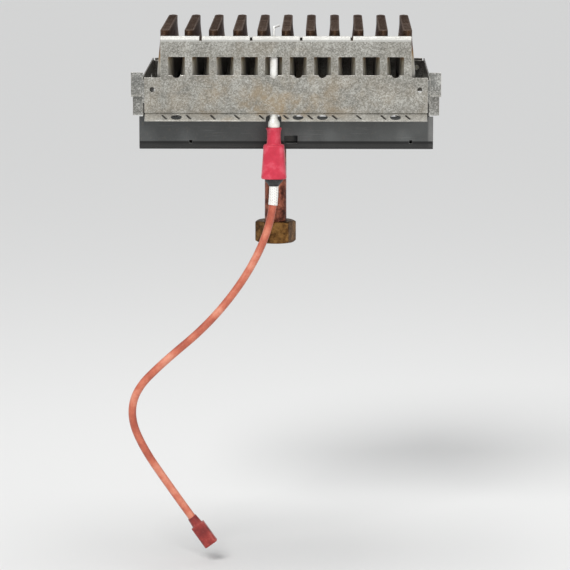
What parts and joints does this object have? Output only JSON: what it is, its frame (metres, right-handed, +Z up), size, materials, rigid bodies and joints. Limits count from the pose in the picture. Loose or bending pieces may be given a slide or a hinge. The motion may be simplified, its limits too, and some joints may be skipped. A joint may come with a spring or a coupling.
{
  "type": "gas burner assembly",
  "caption": "Multi-blade atmospheric gas burner for a wall-hung boiler, with windowed front panel, gas tube and jets, union nut, ignition electrode, silicone boot and lead.",
  "frame": {"origin": "midway between the two fixing holes, on the front face of the front panel", "axes": "+X to the right along the front, +Y back along the blades, +Z up"},
  "size_m": [0.2578, 0.217, 0.4341],
  "materials": {
    "panel_sheet": "aluminised sheet, mottled, semi-matt",
    "side_sheet": "aluminised sheet, darker, semi-matt",
    "apron_sheet": "dark grey sheet, satin",
    "blade_steel": "stainless sheet, heat-tinted brown",
    "manifold_steel": "grey plated steel tube, satin",
    "washer_aluminium": "plain",
    "injector_brass": "turned brass",
    "nut_brass": "dulled brass",
    "pipe_copper": "tarnished copper",
    "gasket_fibre": "fibre ring, matt",
    "screw_zinc": "zinc plated",
    "pin_steel": "heat-resisting wire and strip",
    "ceramic_white": "white, fine, semi-gloss",
    "boot_silicone": "crimson silicone, satin",
    "grommet_rubber": "black rubber, matt",
    "lead_silicone": "salmon-brown silicone, satin",
    "sleeve_white": "white sleeve, matt",
    "connector_silicone": "dark red silicone, satin"
  },
  "bodies": {
    "burner": {"boot_grommet": "grommet_rubber", "burner_blade_01": "blade_steel", "burner_blade_02": "blade_steel", "burner_blade_03": "blade_steel", "burner_blade_04": "blade_steel", "burner_blade_05": "blade_steel", "burner_blade_06": "blade_steel", "burner_blade_07": "blade_steel", "burner_blade_08": "blade_steel", "burner_blade_09": "blade_steel", "burner_blade_10": "blade_steel", "burner_blade_11": "blade_steel", "electrode_boot": "boot_silicone", "electrode_bracket": "panel_sheet", "electrode_ceramic": "ceramic_white", "electrode_flange": "pin_steel", "electrode_pin": "pin_steel", "electrode_screw": "screw_zinc", "electrode_terminal": "pin_steel", "front_panel": "panel_sheet", "front_rail": "panel_sheet", "gas_inlet_pipe": "pipe_copper", "gas_manifold": "manifold_steel", "ignition_lead": "lead_silicone", "injector_01": "injector_brass", "injector_02": "injector_brass", "injector_03": "injector_brass", "injector_04": "injector_brass", "injector_05": "injector_brass", "injector_06": "injector_brass", "injector_07": "injector_brass", "injector_08": "injector_brass", "injector_09": "injector_brass", "injector_10": "injector_brass", "injector_11": "injector_brass", "injector_washers": "washer_aluminium", "lead_connector": "connector_silicone", "lead_sleeve": "sleeve_white", "lead_terminal": "injector_brass", "lower_apron": "apron_sheet", "manifold_bracket_left": "side_sheet", "manifold_bracket_right": "side_sheet", "manifold_end_cap_left": "manifold_steel", "manifold_end_cap_right": "manifold_steel", "manifold_screws": "screw_zinc", "pipe_collar": "pipe_copper", "rear_panel": "panel_sheet", "rear_panel_screws": "screw_zinc", "side_plate_left": "side_sheet", "side_plate_right": "side_sheet", "union_gasket": "gasket_fibre"},
    "union_nut": {"union_nut": "nut_brass"}
  },
  "joints": [
    {"name": "union_nut_turn", "type": "hinge", "parent": "burner", "child": "union_nut", "pos_m": [-0.009, 0.032, -0.121], "axis": [0, 0, 1], "continuous": true}
  ]
}
